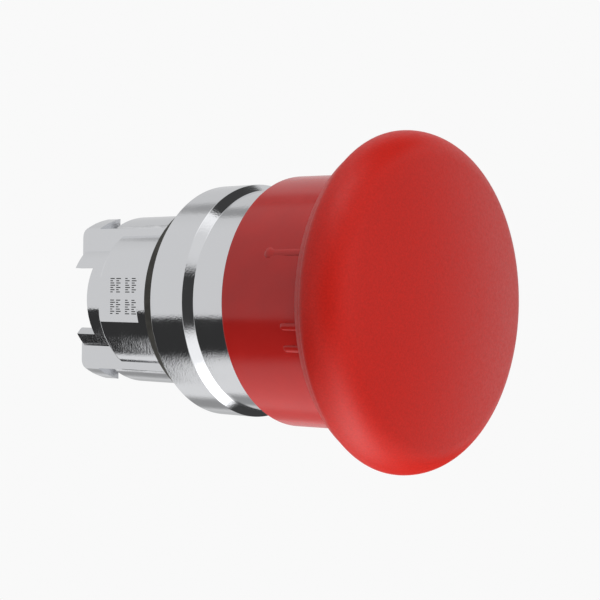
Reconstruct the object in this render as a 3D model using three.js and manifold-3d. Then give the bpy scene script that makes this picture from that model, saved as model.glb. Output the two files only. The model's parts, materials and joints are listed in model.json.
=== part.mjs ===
// Emergency stop operator: a 40 mm mushroom head on a chromed body for a 22 mm panel cut-out.
// Millimetres, +Z up. The push axis is Y and the head faces -Y. The origin is the centre of the
// plane where the gasket meets the panel. "Station" is the distance forward, towards the head,
// from the rear face of the bezel flange.
import * as THREE from 'three';
import { mergeVertices } from 'three/addons/utils/BufferGeometryUtils.js';
import Module from 'manifold-3d';

const wasm = await Module();
wasm.setup();

// ---------------------------------------------------------------- driving dimensions

const GAP = 0.3;                 // clearance left between pieces that touch
const TRAVEL = 5;                // how far the head is pushed to latch
const FINE = 48;                 // facets round the outer pieces
const COARSE = 24;               // facets round the inner pieces

const gasket = { thickness: 2.6, outer: 13, inner: 10.5 };
const flange = { radius: 14.75, thickness: 5.7, edge: 0.4 };
const collar = { radius: 13.95, start: 6.85, end: 15.6 };
const barrel = { radius: 10.2, end: -14.4 };
const rib = { radius: 11.2, halfWidth: 5.9, end: -15.3 };
const neck = { radius: 8.7, bore: 7.2, outerEnd: -21.5, end: -22 };
const lug = { inner: 2.31, radius: 11.2, tipRadius: 10.8, floor: 9.4, start: -18.5, chamfer: 0.5 };
const notch = { floor: -17.95, edge: 4.1, slope: 33.5 };
const pad = { depth: 9.75, start: -6.9, end: -15, halfHeight: 3.1 };
const bodyBore = { middle: 8.6, middleEnd: -14, front: 12, frontStart: 4 };
const ringGroove = { radius: 12.4, start: 5.3, end: 6.5 };

const bush = { radius: 8.3, bore: 4.3, rear: -13.7, flange: 11.7, front: 5.1 };
const latch = { station: -5, pin: 1.5, pocket: 1.75, noseCentre: 4.87, tail: 5.8, slope: 0.16 };
const band = { inner: 7.9, outer: 8.3, halfWidth: 2.5, opening: 0.5 };
const snapRing = { inner: 10.5, outer: 12.1, rear: 5.5, thickness: 0.7, opening: 0.7 };
const buffer = { inner: 8.7, outer: 9.8, rear: 5.4, thickness: 0.9 };
const seal = { inner: 10.2, outer: 11.7, rear: 12.1, thickness: 1.8 };
const retainer = { inner: 10.4, rear: 14.2, front: 15.3 };

const skirt = { rear: 12.65, rearRadius: 15.45, frontRadius: 15.2, bore: 14.25, front: 28.2 };
const web = { rear: 22.3, thickness: 2, hole: 4.4 };
const ridge = { width: 1, proud: 0.35, front: 26.6 };
const ridges = [
  { angle: 20.9, rear: 18.2 },
  { angle: -10.7, rear: 21.3 },
  { angle: -20.3, rear: 21.3 },
];
const sleeve = { outer: 9.9, inner: 8.4, rear: 11.8, flange: 11.8, flangeRear: 21, front: 22 };
const stem = { radius: 4.08, rearRadius: 2.9, bore: 1.8, rear: -15, flange: 7.5, flangeRear: 24.6 };
const stemFront = 26;
const cap = { rim: 26.9, rimRadius: 19.2, widest: 28.8, radius: 20, shoulder: 4.2, apex: 34.6 };
const capWall = 1.8;
const boss = { radius: 4.4, pilot: 1.2, rear: 26.3, pilotEnd: 31 };
const capRib = { inner: 12.4, outer: 13.9, rear: 26.4 };
const capSeal = { ring: 13.1, wire: 0.75, station: 25.35 };
const pusher = { radius: 6.85, front: -15.3, rear: -17.7, hole: 1.8, recess: 3.3, recessFloor: -16.3 };
const screw = { shank: 1, head: 2.7, headFront: -16.9, headRear: -17.6, front: 30.5 };
const screwWasher = { outer: 2.9, inner: 1.4, rear: -16.75, front: -16.45 };
const springWasher = { inner: 5.2, outer: 7.6, rear: 21.5, thickness: 0.5 };
const returnSpring = { coil: 6.4, wire: 0.6, rear: 5.5, front: 21.2, turns: 5 };
const latchSpring = { coil: 0.95, wire: 0.16, inner: 6.1, outer: 7.5, turns: 2.5 };

// ---------------------------------------------------------------- frame and solid helpers

// A station's place along Y.
const along = (station) => -(station + gasket.thickness);

// Removes normals and uvs, merges shared corners and drops triangles that have no area.
function welded(geometry) {
  const bare = geometry.index ? geometry.toNonIndexed() : geometry.clone();
  bare.deleteAttribute('normal');
  bare.deleteAttribute('uv');
  const merged = mergeVertices(bare, 1e-5);
  const corners = merged.index.array;
  const kept = [];
  for (let i = 0; i < corners.length; i += 3) {
    const [a, b, c] = [corners[i], corners[i + 1], corners[i + 2]];
    if (a !== b && b !== c && c !== a) kept.push(a, b, c);
  }
  merged.setIndex(kept);
  return merged;
}

function toSolid(geometry) {
  const merged = welded(geometry);
  return new wasm.Manifold(new wasm.Mesh({
    numProp: 3,
    vertProperties: new Float32Array(merged.attributes.position.array),
    triVerts: new Uint32Array(merged.index.array),
  }));
}

function toGeometry(solid) {
  const mesh = solid.getMesh();
  const geometry = new THREE.BufferGeometry();
  geometry.setAttribute('position', new THREE.BufferAttribute(mesh.vertProperties, 3));
  geometry.setIndex(new THREE.BufferAttribute(mesh.triVerts, 1));
  return geometry;
}

const joined = (first, ...others) => others.reduce((sum, next) => sum.add(next), first);
const cut = (first, ...tools) => tools.reduce((rest, tool) => rest.subtract(tool), first);

// Turns an outline of [radius, height] points about Y. The outline either starts and ends on the
// axis or is closed here, and it is walked so that the faces point out.
function turnedUp(outline, facets) {
  const points = outline.map(([radius, height]) => new THREE.Vector2(radius, height));
  if (THREE.ShapeUtils.area(points) < 0) points.reverse();
  const last = points.length - 1;
  const solid = points[0].x === 0 && points[last].x === 0;
  if (!solid) points.push(points[0].clone());
  return new THREE.LatheGeometry(points, facets);
}

// Turns an outline of [radius, station] points about the push axis.
const turned = (outline, facets) =>
  turnedUp(outline.map(([radius, station]) => [radius, along(station)]), facets);

const ring = (inner, outer, rear, front, facets) =>
  turned([[inner, rear], [outer, rear], [outer, front], [inner, front]], facets);

// A block between two X values, two stations and two Z values.
function block([x0, x1], [rear, front], [z0, z1]) {
  const box = new THREE.BoxGeometry(x1 - x0, front - rear, z1 - z0);
  return box.translate((x0 + x1) / 2, along((rear + front) / 2), (z0 + z1) / 2);
}

// A flat outline in X and Z, made solid from one station forward.
function plate(shape, rear, thickness) {
  const geometry = new THREE.ExtrudeGeometry(shape, {
    depth: thickness,
    bevelEnabled: false,
    curveSegments: COARSE,
  });
  return geometry.rotateX(Math.PI / 2).translate(0, along(rear), 0);
}

// A ring with an opening at the top, its half-angle in radians.
function splitRing(inner, outer, rear, thickness, halfOpening) {
  const shape = new THREE.Shape();
  const start = Math.PI / 2 + halfOpening;
  const end = Math.PI / 2 - halfOpening + 2 * Math.PI;
  shape.absarc(0, 0, outer, start, end, false);
  shape.absarc(0, 0, inner, end, start, true);
  return plate(shape, rear, thickness);
}

// A coil along Y from one height to another, as a wire swept round a helix.
class Helix extends THREE.Curve {
  constructor(radius, from, to, turns) {
    super();
    Object.assign(this, { radius, from, to, turns });
  }

  getPoint(t, target = new THREE.Vector3()) {
    const angle = 2 * Math.PI * this.turns * t;
    const height = this.from + (this.to - this.from) * t;
    return target.set(this.radius * Math.sin(angle), height, this.radius * Math.cos(angle));
  }
}

function coil(radius, wire, from, to, turns, stepsPerTurn) {
  const section = new THREE.Shape();
  section.absarc(0, 0, wire, 0, 2 * Math.PI, false);
  return new THREE.ExtrudeGeometry(section, {
    steps: Math.round(turns * stepsPerTurn),
    curveSegments: 3,
    extrudePath: new Helix(radius, from, to, turns),
  });
}

// ---------------------------------------------------------------- materials

const finish = (color, roughness, metalness) =>
  new THREE.MeshStandardMaterial({ color, roughness, metalness });

const chrome = finish(0xd6d6d8, 0.15, 1);
const steel = finish(0x9a9c9f, 0.35, 1);
const rubber = finish(0x2c2a28, 0.8, 0);
const glossRed = finish(0xb02322, 0.2, 0);
const matteRed = finish(0xb8332d, 0.6, 0);
const whitePlastic = finish(0xd9d7d0, 0.5, 0);
const blackPlastic = finish(0x232325, 0.5, 0);

const button = new THREE.Group();

function add(name, geometry, material) {
  const mesh = new THREE.Mesh(geometry, material);
  mesh.name = name;
  button.add(mesh);
  return mesh;
}

// ---------------------------------------------------------------- fixed body

// The whole casting: turned stock, then the ribs, coupling block and lugs added, then the bores,
// the side notches and the marking pad cut.
function bezelBody() {
  const stock = toSolid(turned([
    [0, neck.end],
    [neck.bore, neck.end],
    [neck.radius, neck.outerEnd],
    [neck.radius, barrel.end],
    [barrel.radius, barrel.end],
    [barrel.radius, 0],
    [flange.radius - flange.edge, 0],
    [flange.radius, flange.edge],
    [flange.radius, flange.thickness],
    [collar.radius, collar.start],
    [collar.radius, collar.end],
    [0, collar.end],
  ], FINE));

  const acrossRibs = [-rib.halfWidth, rib.halfWidth];
  const ribs = toSolid(ring(0, rib.radius, rib.end, flange.edge, FINE))
    .intersect(toSolid(block(acrossRibs, [rib.end, flange.edge], [-rib.radius, rib.radius])));
  const couplingBlock = toSolid(block(acrossRibs, [neck.end, barrel.end], [-lug.floor, lug.floor]));

  const lugDisc = toSolid(turned([
    [0, neck.end],
    [lug.tipRadius, neck.end],
    [lug.radius, neck.end + lug.chamfer],
    [lug.radius, lug.start],
    [0, lug.start],
  ], FINE));
  const lugs = [-1, 1].map((side) => {
    const acrossLug = side < 0 ? [-rib.halfWidth, -lug.inner] : [lug.inner, rib.halfWidth];
    return lugDisc.intersect(toSolid(block(acrossLug, [neck.end, lug.start], [-12, 12])));
  });

  const past = 1;
  const bore = toSolid(turned([
    [0, neck.end - past],
    [neck.bore, neck.end - past],
    [neck.bore, bodyBore.middleEnd],
    [bodyBore.middle, bodyBore.middleEnd],
    [bodyBore.middle, bodyBore.frontStart],
    [bodyBore.front, bodyBore.frontStart],
    [bodyBore.front, ringGroove.start],
    [ringGroove.radius, ringGroove.start],
    [ringGroove.radius, ringGroove.end],
    [bodyBore.front, ringGroove.end],
    [bodyBore.front, collar.end + past],
    [0, collar.end + past],
  ], FINE));

  // One notch edge is level and the other is radial, and the two notches are half a turn apart.
  const reach = 12;
  const notchShape = new THREE.Shape();
  notchShape.moveTo(0, notch.edge);
  notchShape.lineTo(-reach, notch.edge);
  notchShape.lineTo(-reach, -reach * Math.tan(THREE.MathUtils.degToRad(notch.slope)));
  notchShape.lineTo(0, 0);
  const notchDepth = notch.floor - neck.end + past;
  const nearNotch = plate(notchShape, neck.end - past, notchDepth);
  const farNotch = nearNotch.clone().rotateY(Math.PI);

  const padHeight = [-pad.halfHeight, pad.halfHeight];
  const padCut = block([-reach, -pad.depth], [pad.end, pad.start], padHeight);

  const casting = joined(stock, ribs, couplingBlock, ...lugs);
  return cut(casting, bore, toSolid(nearNotch), toSolid(farNotch), toSolid(padCut));
}

add('bezel_body', toGeometry(bezelBody()), chrome);

// The gasket's hole follows the barrel and its two ribs.
function panelGasket() {
  const outline = ring(gasket.inner, gasket.outer, -gasket.thickness, -GAP, FINE);
  const ribHole = toSolid(ring(0, rib.radius + GAP, -gasket.thickness - 1, 1, FINE))
    .intersect(toSolid(block(
      [-rib.halfWidth - GAP, rib.halfWidth + GAP],
      [-gasket.thickness - 1, 1],
      [-gasket.outer, gasket.outer],
    )));
  return cut(toSolid(outline), ribHole);
}

add('panel_gasket', toGeometry(panelGasket()), rubber);

// The bush has a flange at the front, a waist for the band and a latch pocket on each side.
function guideBush() {
  const waist = band.inner - GAP;
  const waistRear = latch.station - band.halfWidth - GAP;
  const waistFront = latch.station + band.halfWidth + GAP;
  const flangeRear = bodyBore.frontStart + GAP;
  const body = turned([
    [bush.bore, bush.rear],
    [bush.radius, bush.rear],
    [bush.radius, waistRear],
    [waist, waistRear],
    [waist, waistFront],
    [bush.radius, waistFront],
    [bush.radius, flangeRear],
    [bush.flange, flangeRear],
    [bush.flange, bush.front],
    [bush.bore, bush.front],
  ], COARSE);
  const pocketFacets = 16;
  const pockets = new THREE.CylinderGeometry(latch.pocket, latch.pocket, 20, pocketFacets)
    .rotateZ(Math.PI / 2)
    .translate(0, along(latch.station), 0);
  return cut(toSolid(body), toSolid(pockets));
}

add('guide_bush', toGeometry(guideBush()), whitePlastic);

add('bush_snap_ring', splitRing(
  snapRing.inner, snapRing.outer, snapRing.rear, snapRing.thickness, snapRing.opening / 2,
), steel);

add('latch_band', splitRing(
  band.inner, band.outer, latch.station - band.halfWidth, 2 * band.halfWidth, band.opening / 2,
), steel);

add('stop_buffer', ring(
  buffer.inner, buffer.outer, buffer.rear, buffer.rear + buffer.thickness, COARSE,
), rubber);

// The seal is a U in section, with its lip against the sleeve.
const sealFront = seal.rear + seal.thickness;
add('lip_seal', turned([
  [seal.inner, seal.rear],
  [seal.outer, seal.rear],
  [seal.outer, sealFront],
  [seal.outer - 0.4, sealFront],
  [seal.outer - 0.6, seal.rear + 0.6],
  [seal.inner + 0.4, seal.rear + 0.6],
  [seal.inner + 0.3, sealFront],
  [seal.inner, sealFront],
], COARSE), rubber);

add('seal_retainer', ring(
  retainer.inner, bodyBore.front - GAP, retainer.rear, retainer.front, COARSE,
), steel);

// ---------------------------------------------------------------- moving head

// The cap's outer curve: a short outward curve from the rim to the widest ring, a round shoulder,
// then a shallow dome that meets the shoulder without a corner.
function capOuterCurve() {
  const points = [];
  const rimSteps = 3;
  for (let i = 0; i < rimSteps; i += 1) {
    const turn = (i / rimSteps) * (Math.PI / 2);
    points.push([
      cap.rimRadius + (cap.radius - cap.rimRadius) * Math.sin(turn),
      cap.widest - (cap.widest - cap.rim) * Math.cos(turn),
    ]);
  }
  const centre = cap.radius - cap.shoulder;
  const rise = cap.apex - cap.widest;
  // Radius of the dome that is tangent to the shoulder and passes through the apex.
  const dome = (centre ** 2 + rise ** 2 - cap.shoulder ** 2) / (2 * (rise - cap.shoulder));
  const tangent = Math.atan2(centre, dome - rise);
  const shoulderSteps = 5;
  for (let i = 0; i <= shoulderSteps; i += 1) {
    const turn = (i / shoulderSteps) * (Math.PI / 2 - tangent);
    points.push([
      centre + cap.shoulder * Math.cos(turn),
      cap.widest + cap.shoulder * Math.sin(turn),
    ]);
  }
  const domeSteps = 4;
  for (let i = 1; i <= domeSteps; i += 1) {
    const turn = tangent * (1 - i / domeSteps);
    points.push([dome * Math.sin(turn), cap.apex - dome * (1 - Math.cos(turn))]);
  }
  points[points.length - 1][0] = 0;
  return points;
}

const capHole = skirt.frontRadius + GAP + 0.1;
const ceiling = cap.apex - capWall;
const cavityEdge = cap.widest + 2;
add('mushroom_cap', turned([
  ...capOuterCurve(),
  [0, boss.pilotEnd],
  [boss.pilot, boss.pilotEnd],
  [boss.pilot, boss.rear],
  [boss.radius, boss.rear],
  [boss.radius, ceiling - 0.4],
  [capRib.inner, ceiling - 1],
  [capRib.inner, capRib.rear],
  [capRib.outer, capRib.rear],
  [capRib.outer, cavityEdge],
  [capHole, cavityEdge],
  [capHole, cap.rim],
], FINE), matteRed);

// The skirt is a tube that tapers forward, with a web across it and grip ridges outside.
function headSkirt() {
  const webFront = web.rear + web.thickness;
  const shell = turned([
    [skirt.bore, skirt.rear],
    [skirt.rearRadius, skirt.rear],
    [skirt.frontRadius, skirt.front],
    [skirt.bore, skirt.front],
    [skirt.bore, webFront],
    [web.hole, webFront],
    [web.hole, web.rear],
    [skirt.bore, web.rear],
  ], FINE);
  const bars = ridges.map(({ angle, rear }) => {
    const inside = skirt.frontRadius - 0.3;
    const outside = skirt.frontRadius + ridge.proud;
    const bar = block([-outside, -inside], [rear, ridge.front], [-ridge.width / 2, ridge.width / 2]);
    return toSolid(bar.rotateY(THREE.MathUtils.degToRad(angle)));
  });
  return joined(toSolid(shell), ...bars);
}

add('head_skirt', toGeometry(headSkirt()), glossRed);

const sealRing = new THREE.TorusGeometry(capSeal.ring, capSeal.wire, 6, COARSE);
add('cap_seal_ring', sealRing.rotateX(Math.PI / 2).translate(0, along(capSeal.station), 0), rubber);

add('plunger_sleeve', turned([
  [sleeve.inner, sleeve.rear],
  [sleeve.outer, sleeve.rear],
  [sleeve.outer, sleeve.flangeRear],
  [sleeve.flange, sleeve.flangeRear],
  [sleeve.flange, sleeve.front],
  [sleeve.inner, sleeve.front],
], COARSE), steel);

// The cone under the pawls rises forward, so pushing the head drives the pawls outwards.
const coneRadius = (station) => 3.2 + latch.slope * (station - latch.station);
const coneRear = latch.station - latch.pin;
const coneFront = latch.station + (stem.radius - coneRadius(latch.station)) / latch.slope;
add('stem', turned([
  [stem.bore, stem.rear],
  [stem.rearRadius, stem.rear],
  [stem.rearRadius, coneRear],
  [coneRadius(coneRear), coneRear],
  [stem.radius, coneFront],
  [stem.radius, stem.flangeRear],
  [stem.flange, stem.flangeRear],
  [stem.flange, stemFront],
  [stem.bore, stemFront],
], COARSE), steel);

add('tie_screw', turned([
  [0, screw.headRear],
  [screw.head, screw.headRear],
  [screw.head, screw.headFront],
  [screw.shank, screw.headFront],
  [screw.shank, screw.front],
  [0, screw.front],
], COARSE), steel);

add('tie_screw_washer', ring(
  screwWasher.inner, screwWasher.outer, screwWasher.rear, screwWasher.front, COARSE,
), steel);

add('rear_pusher', turned([
  [pusher.recess, pusher.rear],
  [pusher.radius, pusher.rear],
  [pusher.radius, pusher.front],
  [pusher.hole, pusher.front],
  [pusher.hole, pusher.recessFloor],
  [pusher.recess, pusher.recessFloor],
], COARSE), blackPlastic);

add('spring_washer', ring(
  springWasher.inner, springWasher.outer, springWasher.rear,
  springWasher.rear + springWasher.thickness, COARSE,
), steel);

// ---------------------------------------------------------------- springs and latch

const wireCentre = returnSpring.wire;
add('return_spring', coil(
  returnSpring.coil, returnSpring.wire,
  along(returnSpring.rear + wireCentre), along(returnSpring.front - wireCentre),
  returnSpring.turns, 12,
), steel);

// A pawl's nose is a half ball; heights here are distances from the push axis.
function pawlOutline() {
  const noseSteps = 4;
  const points = [];
  for (let i = 0; i <= noseSteps; i += 1) {
    const turn = (i / noseSteps) * (Math.PI / 2);
    points.push([latch.pin * Math.sin(turn), latch.noseCentre - latch.pin * Math.cos(turn)]);
  }
  points[0][0] = 0;
  points.push([latch.pin, latch.tail], [0, latch.tail]);
  return points;
}

for (const [side, turn] of [['left', Math.PI / 2], ['right', -Math.PI / 2]]) {
  const pocket = new THREE.Group();
  pocket.position.y = along(latch.station);
  pocket.rotation.z = turn;
  button.add(pocket);

  const pawl = new THREE.Mesh(turnedUp(pawlOutline(), 12), steel);
  pawl.name = `latch_pawl_${side}`;
  const spring = new THREE.Mesh(coil(
    latchSpring.coil, latchSpring.wire,
    latchSpring.inner + latchSpring.wire, latchSpring.outer - latchSpring.wire,
    latchSpring.turns, 10,
  ), steel);
  spring.name = `latch_spring_${side}`;
  pocket.add(pawl, spring);
}

export default button;
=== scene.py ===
"""Looks of the emergency stop operator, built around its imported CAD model.

Lengths in this script are millimetres until they become coordinates. A station is the distance
forward, towards the head, from the rear face of the bezel flange, as in the CAD source.
"""
import json
import math

import bmesh
import bpy
from mathutils import Matrix, Quaternion, Vector


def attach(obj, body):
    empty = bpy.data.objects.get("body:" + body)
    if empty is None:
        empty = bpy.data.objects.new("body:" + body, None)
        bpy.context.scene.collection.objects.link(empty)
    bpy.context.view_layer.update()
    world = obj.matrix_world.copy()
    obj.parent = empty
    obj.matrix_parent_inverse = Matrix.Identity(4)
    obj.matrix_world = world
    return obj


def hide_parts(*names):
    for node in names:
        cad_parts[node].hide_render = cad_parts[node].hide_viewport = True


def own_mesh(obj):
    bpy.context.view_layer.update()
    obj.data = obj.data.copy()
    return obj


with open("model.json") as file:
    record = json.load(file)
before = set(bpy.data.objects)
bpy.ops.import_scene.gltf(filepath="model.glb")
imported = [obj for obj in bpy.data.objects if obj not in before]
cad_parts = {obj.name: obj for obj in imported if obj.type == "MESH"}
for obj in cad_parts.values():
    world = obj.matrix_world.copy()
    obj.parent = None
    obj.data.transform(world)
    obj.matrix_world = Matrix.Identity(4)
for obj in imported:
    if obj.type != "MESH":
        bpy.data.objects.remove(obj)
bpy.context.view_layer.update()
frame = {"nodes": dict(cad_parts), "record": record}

# ---------------------------------------------------------------- sizes

MM = 0.001
STEPS = 256                      # facets round a large turned piece
SMALL_STEPS = 96                 # facets round a small one
ARC_STEPS = 5                    # facets round a filleted corner

GASKET_THICKNESS = 2.6
GASKET_RADIUS = 13.0
FLANGE_RADIUS = 14.75
FLANGE_FRONT = 5.7
FLANGE_CHAMFER = 0.4
COLLAR_RADIUS = 13.95
COLLAR_START = 6.85
COLLAR_FRONT = 15.6
COLLAR_BORE = 12.0
GROOVE_RADIUS = 12.4             # the groove for the bush's snap ring
GROOVE_REAR = 5.3
GROOVE_FRONT = 6.5
BUSH_SEAT = 4.0
BARREL_BORE = 8.6
BARREL_BORE_REAR = -14.0
BARREL_RADIUS = 10.2
BARREL_REAR = -14.4
RIB_RADIUS = 11.2
RIB_HALF_WIDTH = 5.9
RIB_REAR = -15.3
NECK_RADIUS = 8.7
NECK_BORE = 7.2
NECK_REAR = -22.0
NECK_OUTER_END = -21.5
LUG_INNER = 2.31                 # half the gap between a block's two lugs
LUG_RADIUS = 11.2
LUG_FLOOR = 9.4
LUG_FRONT = -18.5
NOTCH_FLOOR = -17.95
NOTCH_EDGE = 4.1
NOTCH_SLOPE = math.radians(33.5)
PAD_DEPTH = 9.75                 # from the axis to the flat of the marked pad
PAD_HALF_HEIGHT = 4.0
PAD_FRONT = -6.9
PAD_REAR = -15.0

SKIRT_REAR = 12.65
SKIRT_REAR_RADIUS = 15.45
SKIRT_FRONT_RADIUS = 15.2
SKIRT_FRONT = 28.2
SKIRT_BORE = 14.25
WEB_REAR = 22.3                  # the skirt's inner web
WEB_FRONT = 24.3
WEB_BORE = 4.4

CAP_RIM = 26.65
CAP_RIM_RADIUS = 19.0
CAP_LAND = 27.7
CAP_LAND_RADIUS = 19.5
CAP_WIDEST = 28.8
CAP_RADIUS = 20.0
CAP_SHOULDER = 4.2
CAP_APEX = 34.6
CAP_WALL = 1.8
CAP_BOSS = 4.4
CAP_BOSS_REAR = 26.3
CAP_LIP_INNER = 12.4             # the lip stands inside the skirt's front end
CAP_LIP_OUTER = 13.9
CAP_LIP_REAR = 26.4
SCREW_HOLE = 1.2
SCREW_HOLE_END = 31.0

BODY, HEAD = "base", "head"


def along(station):
    """A station's place along Y, in millimetres."""
    return -(station + GASKET_THICKNESS)


# ---------------------------------------------------------------- mesh helpers

def round_corners(outline):
    """Outline points are (radius, station) or (radius, station, fillet radius)."""
    rounded = []
    for i, point in enumerate(outline):
        corner = Vector(point[:2])
        if len(point) < 3:
            rounded.append(corner)
            continue
        fillet = point[2]
        before = (Vector(outline[i - 1][:2]) - corner).normalized()
        after = (Vector(outline[(i + 1) % len(outline)][:2]) - corner).normalized()
        half = before.angle(after) / 2
        centre = corner + (before + after).normalized() * fillet / math.sin(half)
        reach = fillet / math.tan(half)
        first = corner + before * reach - centre
        last = corner + after * reach - centre
        turn = math.atan2(first.x * last.y - first.y * last.x, first.dot(last))
        for step in range(ARC_STEPS + 1):
            rounded.append(centre + Matrix.Rotation(turn * step / ARC_STEPS, 2) @ first)
    return rounded


def mesh_object(name, vertices, faces):
    mesh = bpy.data.meshes.new(name)
    mesh.from_pydata([Vector(v) * MM for v in vertices], [], faces)
    work = bmesh.new()
    work.from_mesh(mesh)
    bmesh.ops.remove_doubles(work, verts=work.verts, dist=1e-7)
    bmesh.ops.recalc_face_normals(work, faces=work.faces)
    work.to_mesh(mesh)
    work.free()
    piece = bpy.data.objects.new(name, mesh)
    bpy.context.scene.collection.objects.link(piece)
    return piece


def turned(name, outline, steps=STEPS):
    """Turns a closed outline of (radius, station) points about the push axis."""
    points = round_corners(outline)
    count = len(points)
    vertices = []
    for step in range(steps):
        angle = 2 * math.pi * step / steps
        for point in points:
            radius = max(point.x, 0)
            vertices.append((radius * math.sin(angle), along(point.y), radius * math.cos(angle)))
    faces = []
    for step in range(steps):
        here, there = step * count, (step + 1) % steps * count
        for i in range(count):
            j = (i + 1) % count
            if points[i].x > 0 or points[j].x > 0:
                faces.append((here + i, there + i, there + j, here + j))
    return mesh_object(name, vertices, faces)


def ring(name, inner, outer, rear, front, fillet=0.1, steps=STEPS):
    corners = [(inner, rear), (outer, rear), (outer, front), (inner, front)]
    return turned(name, [(*corner, fillet) for corner in corners], steps)


def prism(name, outline, rear, front):
    """An outline of (x, z) points, made solid between two stations."""
    count = len(outline)
    vertices = [(x, along(rear), z) for x, z in outline]
    vertices += [(x, along(front), z) for x, z in outline]
    sides = [(i, (i + 1) % count, count + (i + 1) % count, count + i) for i in range(count)]
    ends = [tuple(range(count)), tuple(range(count, 2 * count))]
    return mesh_object(name, vertices, sides + ends)


def block(name, x, stations, z):
    corners = [(x[0], z[0]), (x[1], z[0]), (x[1], z[1]), (x[0], z[1])]
    return prism(name, corners, *stations)


def coil(name, radius, wire, ends, turns, axis=(0, 1, 0)):
    """A coil spring whose wire centre runs between two heights along an axis."""
    around, per_turn = 12, 48
    count = int(turns * per_turn)
    upright = Vector((0, 1, 0)).rotation_difference(Vector(axis))
    vertices = []
    for step in range(count + 1):
        angle = 2 * math.pi * step / per_turn
        out = Vector((math.sin(angle), 0, math.cos(angle)))
        height = ends[0] + (ends[1] - ends[0]) * step / count
        for k in range(around):
            turn = 2 * math.pi * k / around
            point = out * (radius + wire * math.cos(turn))
            point.y = height + wire * math.sin(turn)
            vertices.append(upright @ point)
    faces = []
    for step in range(count):
        for k in range(around):
            a, b = step * around + k, step * around + (k + 1) % around
            faces.append((a, b, b + around, a + around))
    faces.append(tuple(range(around)))
    faces.append(tuple(range(count * around, (count + 1) * around)))
    return mesh_object(name, vertices, faces)


def apply_modifiers(piece):
    bpy.context.view_layer.update()
    evaluated = piece.evaluated_get(bpy.context.evaluated_depsgraph_get())
    mesh = bpy.data.meshes.new_from_object(evaluated)
    piece.modifiers.clear()
    piece.data = mesh


def combine(piece, tool, operation):
    modifier = piece.modifiers.new("combine", "BOOLEAN")
    modifier.object = tool
    modifier.operation = operation
    modifier.solver = "EXACT"
    apply_modifiers(piece)
    bpy.data.objects.remove(tool)
    if not piece.data.polygons:
        raise RuntimeError(f"nothing is left of {piece.name}")
    return piece


def add(piece, tool):
    return combine(piece, tool, "UNION")


def cut(piece, tool):
    return combine(piece, tool, "DIFFERENCE")


def keep_inside(piece, tool):
    return combine(piece, tool, "INTERSECT")


def weld(piece, distance):
    """Joins points nearer to each other than that distance, and drops edges with no face.

    Boolean cuts leave both.
    """
    work = bmesh.new()
    work.from_mesh(piece.data)
    bmesh.ops.remove_doubles(work, verts=work.verts, dist=distance * MM)
    bmesh.ops.dissolve_degenerate(work, edges=work.edges, dist=distance * MM)
    loose = [edge for edge in work.edges if not edge.link_faces]
    bmesh.ops.delete(work, geom=loose, context="EDGES")
    work.to_mesh(piece.data)
    work.free()


def shade(piece):
    """Shades round faces smoothly and flat faces flat."""
    for polygon in piece.data.polygons:
        polygon.use_smooth = True
    weighted = piece.modifiers.new("normals", "WEIGHTED_NORMAL")
    weighted.keep_sharp = True
    weighted.weight = 100
    apply_modifiers(piece)
    return piece


def exact_normals(piece, smooth=30, strip=0.07):
    """Gives turned faces their exact normals, so that a polished piece mirrors cleanly.

    A turned face's normal has no part along the turning direction. Any other face is flat,
    unless its area over its outline shows it to be a narrow strip of a rounded edge. Strips run
    smoothly from one face to the next.
    """
    mesh = piece.data
    vertices = mesh.vertices
    closest = math.cos(math.radians(smooth))
    # A turned face's corners lie within half a facet of its centre, and a little is allowed.
    widest = 1.3 * math.pi / STEPS
    endwise, edgewise, turned_away = 0.9999, 0.01, 0.4

    def outward(point):
        return Vector((point.x, 0, point.z)).normalized()

    profiles, flats = {}, {}
    faces_at = [[] for _ in vertices]
    for polygon in mesh.polygons:
        out, normal = outward(polygon.center), polygon.normal
        corners = [vertices[i].co for i in polygon.vertices]
        sideways = abs(normal.dot(Vector((out.z, 0, -out.x))))
        narrow = all(out.angle(outward(corner), 0) < widest for corner in corners)
        around = sum((a - b).length for a, b in zip(corners, corners[1:] + corners[:1]))
        if abs(normal.y) > endwise or (sideways < edgewise and narrow):
            profiles[polygon.index] = Vector((normal.dot(out), normal.y)).normalized()
        elif polygon.area > strip * MM * around:
            flats[polygon.index] = normal.copy()
        for vertex in polygon.vertices:
            faces_at[vertex].append(polygon)

    def known_normal(polygon, vertex):
        if polygon.index in flats:
            return flats[polygon.index]
        own = profiles[polygon.index]
        blend = Vector((0, 0))
        for other in faces_at[vertex]:
            profile = profiles.get(other.index)
            if profile and profile.dot(own) > closest:
                blend += profile * other.area
        blend.normalize()
        return outward(vertices[vertex].co) * blend.x + Vector((0, blend.y, 0))

    def strip_normal(polygon, vertex):
        for owner in sorted(faces_at[vertex], key=lambda face: -face.area):
            if owner.index in profiles or owner.index in flats:
                normal = known_normal(owner, vertex)
                if normal.dot(polygon.normal) > turned_away:
                    return normal
        return vertices[vertex].normal.copy()

    normals = []
    for polygon in mesh.polygons:
        known = polygon.index in profiles or polygon.index in flats
        find = known_normal if known else strip_normal
        normals += [find(polygon, vertex) for vertex in polygon.vertices]
    mesh.normals_split_custom_set(normals)


# ---------------------------------------------------------------- materials

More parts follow.
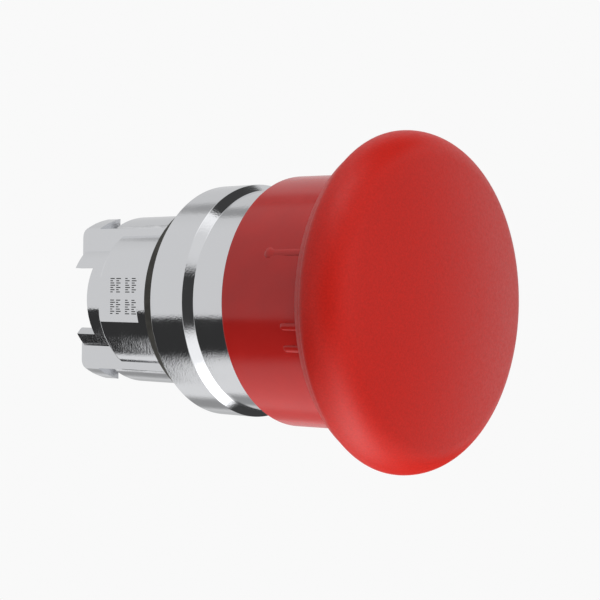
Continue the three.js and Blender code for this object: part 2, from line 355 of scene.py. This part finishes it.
class Surface:
    """A Principled material with helpers that add procedural detail in object space."""

    def __init__(self, name, color, roughness, metallic=0.0, **sockets):
        self.material = bpy.data.materials.new(name)
        self.material.use_nodes = True
        self.material.diffuse_color = (*color, 1)
        self.tree = self.material.node_tree
        self.shader = self.tree.nodes["Principled BSDF"]
        self.set("Base Color", (*color, 1))
        self.set("Roughness", roughness)
        self.set("Metallic", metallic)
        for socket, value in sockets.items():
            self.set(socket.replace("_", " "), value)
        self.place = self.tree.nodes.new("ShaderNodeTexCoord").outputs["Object"]

    def set(self, socket, value):
        self.shader.inputs[socket].default_value = value

    def noise(self, size, detail=2.0, stretch=(1, 1, 1)):
        """Noise whose features are about that many millimetres across."""
        mapping = self.tree.nodes.new("ShaderNodeMapping")
        mapping.inputs["Scale"].default_value = stretch
        self.tree.links.new(self.place, mapping.inputs["Vector"])
        node = self.tree.nodes.new("ShaderNodeTexNoise")
        node.inputs["Scale"].default_value = 1 / (size * MM)
        node.inputs["Detail"].default_value = detail
        self.tree.links.new(mapping.outputs["Vector"], node.inputs["Vector"])
        return node.outputs["Fac"]

    def vary_color(self, factor, low, high):
        """Runs from one colour to another as the factor goes from 0.3 to 0.7."""
        ramp = self.tree.nodes.new("ShaderNodeValToRGB")
        ramp.color_ramp.elements[0].position = 0.3
        ramp.color_ramp.elements[0].color = (*low, 1)
        ramp.color_ramp.elements[1].position = 0.7
        ramp.color_ramp.elements[1].color = (*high, 1)
        self.tree.links.new(factor, ramp.inputs["Fac"])
        self.tree.links.new(ramp.outputs["Color"], self.shader.inputs["Base Color"])

    def vary_roughness(self, factor, low, high):
        spread = self.tree.nodes.new("ShaderNodeMapRange")
        spread.inputs["From Min"].default_value = 0.3
        spread.inputs["From Max"].default_value = 0.7
        spread.inputs["To Min"].default_value = low
        spread.inputs["To Max"].default_value = high
        self.tree.links.new(factor, spread.inputs["Value"])
        self.tree.links.new(spread.outputs["Result"], self.shader.inputs["Roughness"])

    def bump(self, *layers):
        """Each layer is (height factor, height in millimetres)."""
        normal = None
        for factor, height in layers:
            node = self.tree.nodes.new("ShaderNodeBump")
            node.inputs["Strength"].default_value = 1.0
            node.inputs["Distance"].default_value = height * MM
            self.tree.links.new(factor, node.inputs["Height"])
            if normal:
                self.tree.links.new(normal, node.inputs["Normal"])
            normal = node.outputs["Normal"]
        self.tree.links.new(normal, self.shader.inputs["Normal"])


def scaled(color, amount):
    return tuple(min(channel * amount, 1) for channel in color)


def make_chrome():
    surface = Surface("chrome", (0.86, 0.865, 0.88), 0.07, metallic=1.0)
    surface.vary_roughness(surface.noise(2.5), 0.05, 0.11)
    surface.bump((surface.noise(0.26, 4), 0.009), (surface.noise(2.2, 1), 0.008))
    return surface.material


def make_steel():
    color = (0.62, 0.61, 0.6)
    surface = Surface("steel", color, 0.3, metallic=1.0)
    lines = surface.noise(0.25, 2, stretch=(1, 6, 1))
    surface.vary_color(lines, scaled(color, 0.85), scaled(color, 1.1))
    surface.vary_roughness(lines, 0.24, 0.38)
    surface.bump((lines, 0.002))
    return surface.material


def make_rubber():
    color = (0.042, 0.040, 0.035)
    surface = Surface("rubber", color, 0.6, Specular_IOR_Level=0.4)
    surface.vary_color(surface.noise(1.2, 4), scaled(color, 0.8), scaled(color, 1.4))
    surface.bump((surface.noise(0.12, 3), 0.006))
    return surface.material


def make_gloss_red():
    color = (0.46, 0.017, 0.014)
    surface = Surface("gloss_red", color, 0.16)
    surface.vary_color(surface.noise(3.0, 4), scaled(color, 0.96), scaled(color, 1.04))
    surface.vary_roughness(surface.noise(1.5, 3), 0.13, 0.2)
    surface.bump((surface.noise(0.3, 2), 0.0012), (surface.noise(3.5, 1), 0.006))
    return surface.material


def make_matte_red():
    color = (0.5, 0.014, 0.008)
    surface = Surface("matte_red", color, 0.42)
    surface.vary_color(surface.noise(0.22, 3), scaled(color, 0.9), scaled(color, 1.12))
    surface.vary_roughness(surface.noise(0.4, 3), 0.38, 0.5)
    surface.bump((surface.noise(0.16, 3), 0.007), (surface.noise(0.5, 2), 0.004))
    return surface.material


def make_plastic(name, color, roughness):
    surface = Surface(name, color, roughness)
    surface.vary_color(surface.noise(1.0, 4), scaled(color, 0.93), scaled(color, 1.06))
    surface.vary_roughness(surface.noise(0.6, 3), roughness - 0.05, roughness + 0.08)
    surface.bump((surface.noise(0.2, 3), 0.003))
    return surface.material


MATERIALS = {
    "chrome": make_chrome(),
    "steel": make_steel(),
    "rubber": make_rubber(),
    "gloss_red": make_gloss_red(),
    "matte_red": make_matte_red(),
    "white_plastic": make_plastic("white_plastic", (0.74, 0.72, 0.66), 0.42),
    "black_plastic": make_plastic("black_plastic", (0.022, 0.022, 0.024), 0.4),
}


def finish_piece(piece, slot, body, *nodes):
    """Gives a piece its material and its body, and hides the CAD nodes that it stands for."""
    piece.data.materials.clear()
    piece.data.materials.append(MATERIALS[slot])
    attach(piece, body)
    if nodes:
        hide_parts(*nodes)
    return piece


# ---------------------------------------------------------------- fixed body

def rib_section():
    """One bar across the axis, whose two ends are the upper and lower ribs."""
    corner, facet = 0.42, 2 * math.pi / STEPS
    edge = math.asin(RIB_HALF_WIDTH / RIB_RADIUS)
    corner_height = RIB_RADIUS * math.cos(edge)
    upper = [(-RIB_HALF_WIDTH, corner_height, corner)]
    arc_steps = math.floor(edge / facet) - 2
    for i in range(-arc_steps, arc_steps + 1):
        upper.append((RIB_RADIUS * math.sin(i * facet), RIB_RADIUS * math.cos(i * facet)))
    upper.append((RIB_HALF_WIDTH, corner_height, corner))
    lower = [(-x, -z, *fillet) for x, z, *fillet in upper]
    return [tuple(point) for point in round_corners(upper + lower)]


def bezel_body():
    body = turned("chromed_body", [
        (NECK_BORE, NECK_REAR, 0.15),
        (NECK_RADIUS, NECK_OUTER_END, 0.12),
        (NECK_RADIUS, BARREL_REAR),
        (BARREL_RADIUS, BARREL_REAR, 0.45),
        (BARREL_RADIUS, 0),
        (FLANGE_RADIUS - FLANGE_CHAMFER, 0),
        (FLANGE_RADIUS, FLANGE_CHAMFER, 0.1),
        (FLANGE_RADIUS, FLANGE_FRONT, 0.2),
        (COLLAR_RADIUS, COLLAR_START, 0.15),
        (COLLAR_RADIUS, COLLAR_FRONT, 0.3),
        (COLLAR_BORE, COLLAR_FRONT, 0.15),
        (COLLAR_BORE, GROOVE_FRONT),
        (GROOVE_RADIUS, GROOVE_FRONT),
        (GROOVE_RADIUS, GROOVE_REAR),
        (COLLAR_BORE, GROOVE_REAR),
        (COLLAR_BORE, BUSH_SEAT),
        (BARREL_BORE, BUSH_SEAT),
        (BARREL_BORE, BARREL_BORE_REAR),
        (NECK_BORE, BARREL_BORE_REAR, 0.15),
    ])

    across = (-RIB_HALF_WIDTH, RIB_HALF_WIDTH)
    inner_wall = NECK_BORE + 0.6
    tall = (-12, 12)
    ribs = prism("ribs", rib_section(), RIB_REAR, 0.5)
    cut(ribs, ring("inside", 0, inner_wall + 1, RIB_REAR - 1, 1.5, 0))
    add(body, ribs)

    # The upper and lower coupling blocks stand on the neck, and each carries two lugs.
    end = NECK_REAR
    coupling = ring("coupling", inner_wall, LUG_RADIUS + 1, end - 1, LUG_FRONT, 0)
    cut(coupling, block("between_lugs", (-LUG_INNER, LUG_INNER), (end - 2, LUG_FRONT + 1), tall))
    floor_heights = (-LUG_FLOOR, LUG_FLOOR)
    add(coupling, block("lug_floor", (-8, 8), (end - 0.5, BARREL_REAR + 0.5), floor_heights))
    keep_inside(coupling, turned("envelope", [
        (0, end),
        (LUG_RADIUS, end, 1.0),
        (LUG_RADIUS, BARREL_REAR + 0.4),
        (0, BARREL_REAR + 0.4),
    ]))
    keep_inside(coupling, block("across", across, (end - 1, BARREL_REAR + 1), tall))
    cut(coupling, ring("bore", 0, inner_wall, end - 1, BARREL_REAR + 1, 0))
    add(body, coupling)

    # One notch edge is level and the other is radial. The far notch is turned half round.
    reach = 12
    slanted = reach * math.tan(NOTCH_SLOPE)
    for turn in (1, -1):
        corners = [(0, NOTCH_EDGE), (-reach, NOTCH_EDGE), (-reach, -slanted), (0, 0)]
        outline = [(x * turn, z * turn) for x, z in corners]
        cut(body, prism("notch", outline, NECK_REAR - 1, NOTCH_FLOOR))
    pad_heights = (-PAD_HALF_HEIGHT, PAD_HALF_HEIGHT)
    cut(body, block("pad", (-reach, -PAD_DEPTH), (PAD_REAR, PAD_FRONT), pad_heights))
    weld(body, 0.002)
    shade(body)
    exact_normals(body)
    return finish_piece(body, "chrome", BODY, "bezel_body")


def panel_gasket():
    gasket = turned("rubber_gasket", [
        (10.5, -GASKET_THICKNESS),
        (GASKET_RADIUS, -GASKET_THICKNESS, 0.12),
        (GASKET_RADIUS, -0.05, 0.1),
        (10.5, -0.05),
    ])
    clear = 0.3
    width = RIB_HALF_WIDTH + clear
    ribs = ring("ribs", 0, RIB_RADIUS + clear, -GASKET_THICKNESS - 1, 1, 0)
    keep_inside(ribs, block("width", (-width, width), (-GASKET_THICKNESS - 1, 1), (-12, 12)))
    cut(gasket, ribs)
    shade(gasket)
    return finish_piece(gasket, "rubber", BODY, "panel_gasket")


def marking():
    """Rows of short strokes on the pad, in place of lettering."""
    strokes = (0.9, 0.5, 0.8, 1.0, 0.6, 0.9, 0.45)
    pitch, thickness, proud, longest = 0.29, 0.13, 0.02, 0.85
    sides = ((0, 1, 3, 2), (4, 6, 7, 5), (0, 4, 5, 1), (2, 3, 7, 6), (0, 2, 6, 4), (1, 5, 7, 3))
    vertices, faces = [], []
    for column, rear in enumerate((-12.2, -11.1, -9.4, -8.2)):
        for group, top in enumerate((2.7, -0.1)):
            for row in range(len(strokes)):
                pick = (row + 3 * column + 2 * group) % len(strokes)
                front = rear + longest * strokes[pick]
                z = top - pitch * row
                first = len(vertices)
                for x in (-PAD_DEPTH - proud, -PAD_DEPTH + proud):
                    for station in (rear, front):
                        for height in (z, z - thickness):
                            vertices.append((x, along(station), height))
                faces += [tuple(first + i for i in side) for side in sides]
    marks = mesh_object("pad_marks", vertices, faces)
    return finish_piece(marks, "black_plastic", BODY)


# ---------------------------------------------------------------- moving head

def cap_curve():
    """The cap's outside, from its rim to its apex, as (radius, station) points."""
    # A sloping land runs round the rim, with a fine step where it meets the round shoulder.
    step = 0.07
    points = [
        (CAP_RIM_RADIUS - 0.1, CAP_RIM),
        (CAP_RIM_RADIUS + 0.02, CAP_RIM + 0.1),
        (CAP_LAND_RADIUS, CAP_LAND),
        (CAP_LAND_RADIUS - step, CAP_LAND + 0.03),
    ]
    start = (CAP_LAND_RADIUS + 0.02, CAP_LAND + 0.1)
    rim_steps = 12
    for i in range(rim_steps):
        turn = i / rim_steps * math.pi / 2
        points.append((
            start[0] + (CAP_RADIUS - start[0]) * math.sin(turn),
            CAP_WIDEST - (CAP_WIDEST - start[1]) * math.cos(turn),
        ))
    centre = CAP_RADIUS - CAP_SHOULDER
    rise = CAP_APEX - CAP_WIDEST
    # The dome's radius makes it meet the round shoulder without a corner.
    dome = (centre ** 2 + rise ** 2 - CAP_SHOULDER ** 2) / (2 * (rise - CAP_SHOULDER))
    tangent = math.atan2(centre, dome - rise)
    shoulder_steps = 24
    for i in range(shoulder_steps + 1):
        turn = i / shoulder_steps * (math.pi / 2 - tangent)
        points.append((
            centre + CAP_SHOULDER * math.cos(turn),
            CAP_WIDEST + CAP_SHOULDER * math.sin(turn),
        ))
    dome_steps = 24
    for i in range(1, dome_steps):
        turn = tangent * (1 - i / dome_steps)
        points.append((dome * math.sin(turn), CAP_APEX - dome * (1 - math.cos(turn))))
    points.append((0, CAP_APEX))
    return points


def mushroom_cap():
    hole = SKIRT_FRONT_RADIUS + 0.15
    ceiling = CAP_APEX - CAP_WALL
    skirt_stop = CAP_WIDEST + 2
    cap = turned("matte_cap", cap_curve() + [
        (0, SCREW_HOLE_END),
        (SCREW_HOLE, SCREW_HOLE_END),
        (SCREW_HOLE, CAP_BOSS_REAR),
        (CAP_BOSS, CAP_BOSS_REAR, 0.2),
        (CAP_BOSS, ceiling - 0.4),
        (CAP_LIP_INNER, ceiling - 1),
        (CAP_LIP_INNER, CAP_LIP_REAR),
        (CAP_LIP_OUTER, CAP_LIP_REAR),
        (CAP_LIP_OUTER, skirt_stop),
        (hole, skirt_stop),
        (hole, CAP_RIM, 0.15),
    ])
    shade(cap)
    return finish_piece(cap, "matte_red", HEAD, "mushroom_cap")


def grip_ridge(angle, rear, blob):
    """A low rounded ridge along the skirt, ending in a round pip where blob is set."""
    front = CAP_RIM + 0.3
    centre = SKIRT_FRONT_RADIUS + 0.02
    half_width, flatness = 0.45, 0.38
    pip_radius, pip_reach = 0.72, 0.8
    narrowest = 0.02
    vertices, faces = [], []
    around, length_steps = 24, 40
    for step in range(length_steps + 1):
        station = rear + (front - rear) * step / length_steps
        nose = min((station - rear) / half_width, 1)
        width = half_width * math.sqrt(max(1 - (1 - nose) ** 2, narrowest ** 2))
        if blob:
            pip = max(1 - abs(station - rear - pip_reach) / pip_reach, 0)
            width = max(width, pip_radius * math.sqrt(1 - (1 - pip) ** 2))
        for k in range(around):
            turn = 2 * math.pi * k / around
            vertices.append((
                -centre - flatness * width * math.cos(turn), along(station), width * math.sin(turn),
            ))
    for step in range(length_steps):
        for k in range(around):
            a, b = step * around + k, step * around + (k + 1) % around
            faces.append((a, b, b + around, a + around))
    faces.append(tuple(range(around)))
    faces.append(tuple(range(length_steps * around, (length_steps + 1) * around)))
    piece = mesh_object("ridge", vertices, faces)
    piece.data.transform(Matrix.Rotation(math.radians(angle), 4, "Y"))
    return piece


def head_skirt():
    skirt = turned("gloss_skirt", [
        (SKIRT_BORE, SKIRT_REAR, 0.2),
        (SKIRT_REAR_RADIUS, SKIRT_REAR, 0.3),
        (SKIRT_FRONT_RADIUS, SKIRT_FRONT, 0.2),
        (SKIRT_BORE, SKIRT_FRONT, 0.2),
        (SKIRT_BORE, WEB_FRONT),
        (WEB_BORE, WEB_FRONT, 0.2),
        (WEB_BORE, WEB_REAR, 0.2),
        (SKIRT_BORE, WEB_REAR),
    ])
    for angle, rear, blob in ((20.9, 18.2, True), (-10.7, 21.3, False), (-20.3, 21.3, False)):
        add(skirt, grip_ridge(angle, rear, blob))
    shade(skirt)
    return finish_piece(skirt, "gloss_red", HEAD, "head_skirt")


def rear_pusher():
    pusher = turned("pusher_disc", [
        (3.3, -17.7, 0.15),
        (6.85, -17.7, 0.35),
        (6.85, -15.3, 0.2),
        (1.8, -15.3),
        (1.8, -16.3),
        (3.3, -16.3),
    ], SMALL_STEPS)
    shade(pusher)
    return finish_piece(pusher, "black_plastic", HEAD, "rear_pusher")


def tie_screw():
    """A long pan-head screw with a cross recess."""
    screw = turned("tie_bolt", [
        (0, -17.6),
        (2.7, -17.6, 0.35),
        (2.7, -16.9),
        (1.0, -16.9),
        (1.0, 30.5, 0.3),
        (0, 30.5),
    ], SMALL_STEPS)
    for long, wide in ((1.5, 0.28), (0.28, 1.5)):
        cut(screw, block("recess", (-long, long), (-18, -17.15), (-wide, wide)))
    shade(screw)
    return finish_piece(screw, "steel", HEAD, "tie_screw")


def small_parts():
    """The smaller inner pieces: washers, rings, seals, the sleeve and the springs."""
    turned_pieces = (
        ("bolt_washer", "steel", HEAD, "tie_screw_washer",
         [(1.4, -16.75), (2.9, -16.75), (2.9, -16.45), (1.4, -16.45)]),
        ("thrust_washer", "steel", HEAD, "spring_washer",
         [(5.2, 21.5), (7.6, 21.5), (7.6, 22.0), (5.2, 22.0)]),
        ("landing_buffer", "rubber", BODY, "stop_buffer",
         [(8.7, 5.4, 0.2), (9.8, 5.4, 0.2), (9.8, 6.3, 0.3), (8.7, 6.3, 0.3)]),
        ("retaining_ring", "steel", BODY, "seal_retainer",
         [(10.4, 14.2), (11.7, 14.2), (11.7, 15.3, 0.15), (10.4, 15.3, 0.15)]),
        ("lip_seal_ring", "rubber", BODY, "lip_seal",
         [(10.2, 12.1), (11.7, 12.1), (11.7, 13.9), (11.3, 13.9), (11.1, 12.7),
          (10.6, 12.7), (10.5, 13.9), (10.2, 13.9)]),
        ("guide_sleeve", "steel", HEAD, "plunger_sleeve",
         [(8.4, 11.8, 0.2), (9.9, 11.8, 0.3), (9.9, 21), (11.8, 21), (11.8, 22, 0.2), (8.4, 22)]),
    )
    for name, slot, body, node, outline in turned_pieces:
        finish_piece(shade(turned(name, outline, SMALL_STEPS)), slot, body, node)

    spring = coil("snap_spring", 6.4, 0.6, (along(6.1), along(20.6)), 5)
    finish_piece(shade(spring), "steel", BODY, "return_spring")
    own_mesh(spring)

    for side, sign in (("left", -1), ("right", 1)):
        pocket = coil(f"pawl_spring_{side}", 0.95, 0.16, (6.26, 7.34), 2.5, axis=(sign, 0, 0))
        pocket.data.transform(Matrix.Translation((0, along(-5) * MM, 0)))
        finish_piece(shade(pocket), "steel", BODY, f"latch_spring_{side}")
        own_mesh(pocket)


# ---------------------------------------------------------------- studio

# What the polished pieces mirror: a direction, the angles in degrees within which a patch is
# whole and beyond which it has faded out, and its brightness. Later ones cover earlier ones.
REFLECTED_PATCHES = (
    # In front and to the left, as the bezel's sloping edge mirrors it.
    ((-0.8, -0.6, 0), 22, 32, 0.045),
    ((-0.5, -0.45, 0.75), 12, 24, 0.72),
    ((-0.5, -0.45, -0.75), 12, 30, 1.0),
    # Above and below.
    ((-0.2, 0.1, 0.97), 12, 30, 1.1),
    ((-0.1, -0.2, -0.95), 12, 28, 2.2),
    ((0.35, -0.1, 0.93), 24, 32, 0.05),
    ((0.7, 0.15, -0.7), 24, 32, 0.05),
    # Behind, above the horizon, along the tops of the round pieces.
    ((0.4, 0.64, 0.65), 4, 34, 0.6),
    ((0.19, 0.64, 0.745), 2, 9, 0.32),
    ((0.05, 1, 0), 15, 32, 0.8),
    # To the right, as the cap mirrors it.
    ((0.55, -0.83, 0), 20, 45, 0.25),
    ((0.98, -0.2, 0), 8, 30, 0.9),
    # Behind, below the horizon, along the undersides of the round pieces.
    ((0.72, 0.64, -0.2), 8, 18, 0.5),
    ((0.46, 0.66, -0.585), 4, 13, 0.3),
)
# Each soft light's place in metres, and its power in watts.
LIGHTS = {
    "top": ((-0.15, -0.1, 0.38), 1.45),
    "bottom": ((-0.12, -0.2, -0.35), 1.19),
    "front": ((0.1, -0.45, 0.05), 0.72),
    "below": ((0.0, 0.05, -0.42), 1.19),
}
LIGHT_SIZE = 0.3


def studio_world():
    """Even light all round, with darker and brighter patches for the chrome to show."""
    world = bpy.data.worlds.new("studio")
    bpy.context.scene.world = world
    world.use_nodes = True
    tree = world.node_tree
    nodes, links = tree.nodes, tree.links
    nodes.clear()
    direction = nodes.new("ShaderNodeTexCoord").outputs["Generated"]

    def smooth(value, low, high):
        spread = nodes.new("ShaderNodeMapRange")
        spread.interpolation_type = "SMOOTHSTEP"
        spread.inputs["From Min"].default_value = low
        spread.inputs["From Max"].default_value = high
        links.new(value, spread.inputs["Value"])
        return spread.outputs["Result"]

    def times(first, second):
        product = nodes.new("ShaderNodeMath")
        product.operation = "MULTIPLY"
        links.new(first, product.inputs[0])
        links.new(second, product.inputs[1])
        return product.outputs["Value"]

    def component(axis):
        dot = nodes.new("ShaderNodeVectorMath")
        dot.operation = "DOT_PRODUCT"
        dot.inputs[1].default_value = Vector(axis).normalized()
        links.new(direction, dot.inputs[0])
        return dot.outputs["Value"]

    def patch(towards, inner, outer):
        """1 within the inner angle of a direction, falling to 0 at the outer one."""
        return smooth(component(towards), math.cos(math.radians(outer)),
                      math.cos(math.radians(inner)))

    def towards_level(level, factor, target):
        mix = nodes.new("ShaderNodeMix")
        mix.data_type = "FLOAT"
        if isinstance(level, float):
            mix.inputs["A"].default_value = level
        else:
            links.new(level, mix.inputs["A"])
        mix.inputs["B"].default_value = target
        links.new(factor, mix.inputs["Factor"])
        return mix.outputs["Result"]

    height = component((0, 0, 1))
    behind, left = component((0, 1, 0)), component((-1, 0, 0))
    level = towards_level(0.66, smooth(height, -0.3, -0.8), 0.76)
    for towards, inner, outer, brightness in REFLECTED_PATCHES:
        level = towards_level(level, patch(towards, inner, outer), brightness)
    # A dark strip lies below the horizon, behind the object and to its left. Where only the
    # barrel and neck mirror it, it runs on further down.
    strip = times(times(smooth(height, -0.69, -0.58), smooth(height, -0.2, -0.235)),
                  times(smooth(behind, 0.0, 0.3), smooth(left, -0.05, 0.12)))
    lower = times(times(smooth(height, -0.5, -0.56), smooth(behind, 0.709, 0.719)),
                  smooth(left, -0.12, 0.0))
    level = towards_level(level, lower, 0.02)
    level = towards_level(level, strip, 0.034)

    def background(color, strength):
        node = nodes.new("ShaderNodeBackground")
        node.inputs["Color"].default_value = (*color, 1)
        if isinstance(strength, float):
            node.inputs["Strength"].default_value = strength
        else:
            links.new(strength, node.inputs["Strength"])
        return node.outputs["Background"]

    def choose(ray, other, chosen):
        mix = nodes.new("ShaderNodeMixShader")
        links.new(path.outputs[ray], mix.inputs["Fac"])
        links.new(other, mix.inputs[1])
        links.new(chosen, mix.inputs[2])
        return mix.outputs["Shader"]

    # Reflections see the patches; matte surfaces and the picture's background see plain white.
    path = nodes.new("ShaderNodeLightPath")
    reflected = background((0.985, 0.99, 1.0), level)
    light = choose("Is Diffuse Ray", reflected, background((1, 1, 1), 0.07))
    seen = choose("Is Camera Ray", light, background((1, 1, 1), 0.947))
    output = nodes.new("ShaderNodeOutputWorld")
    links.new(seen, output.inputs["Surface"])


def area_light(name, place, power):
    """A round light that faces the object, and that no surface mirrors."""
    light = bpy.data.lights.new(name, "AREA")
    light.shape = "DISK"
    light.size = LIGHT_SIZE
    light.energy = power
    lamp = bpy.data.objects.new(name, light)
    lamp.location = place
    lamp.rotation_euler = (-Vector(place)).to_track_quat("-Z", "Y").to_euler()
    lamp.visible_glossy = False
    lamp.visible_camera = False
    bpy.context.scene.collection.objects.link(lamp)


def floor():
    radius, drop, steps = 250, 110, 128
    turns = [2 * math.pi * i / steps for i in range(steps)]
    rim = [(radius * math.cos(turn), radius * math.sin(turn), -drop) for turn in turns]
    disc = mesh_object("floor", rim, [tuple(range(steps))])
    surface = Surface("floor_paint", (0.9, 0.9, 0.9), 0.7)
    surface.vary_color(surface.noise(40), (0.89, 0.89, 0.89), (0.91, 0.91, 0.91))
    disc.data.materials.append(surface.material)
    disc.visible_glossy = False
    disc.visible_diffuse = False
    disc.visible_shadow = False


def photo_camera():
    """The photograph's view: level with the button, 50 degrees round from the front."""
    azimuth, distance, roll, focal_length = 50.36, 169.4, 0.013, 81.7
    target = Vector((0, along(11.77), 0.16)) * MM
    turn = math.radians(azimuth)
    towards = Vector((-math.sin(turn), -math.cos(turn), 0))
    camera = bpy.data.objects.new("camera", bpy.data.cameras.new("camera"))
    camera.data.lens = focal_length
    camera.data.sensor_width = 36
    camera.data.clip_start = 0.01
    camera.location = target + towards * distance * MM
    camera.rotation_mode = "QUATERNION"
    camera.rotation_quaternion = (-towards).to_track_quat("-Z", "Y") @ Quaternion((0, 0, 1), roll)
    bpy.context.scene.collection.objects.link(camera)
    bpy.context.scene.camera = camera


# ---------------------------------------------------------------- the whole model

bezel_body()
panel_gasket()
marking()
mushroom_cap()
head_skirt()
rear_pusher()
tie_screw()
small_parts()

# The inner CAD pieces that nothing replaces are right as they are, and show these materials.
for subpart in frame["record"]["subparts"]:
    node = frame["nodes"][subpart["node"]]
    node.data.materials.clear()
    node.data.materials.append(MATERIALS[subpart["material_slot"]])

studio_world()
for name, (place, power) in LIGHTS.items():
    area_light(name, place, power)
floor()
photo_camera()
bpy.context.scene.view_settings.view_transform = "Standard"
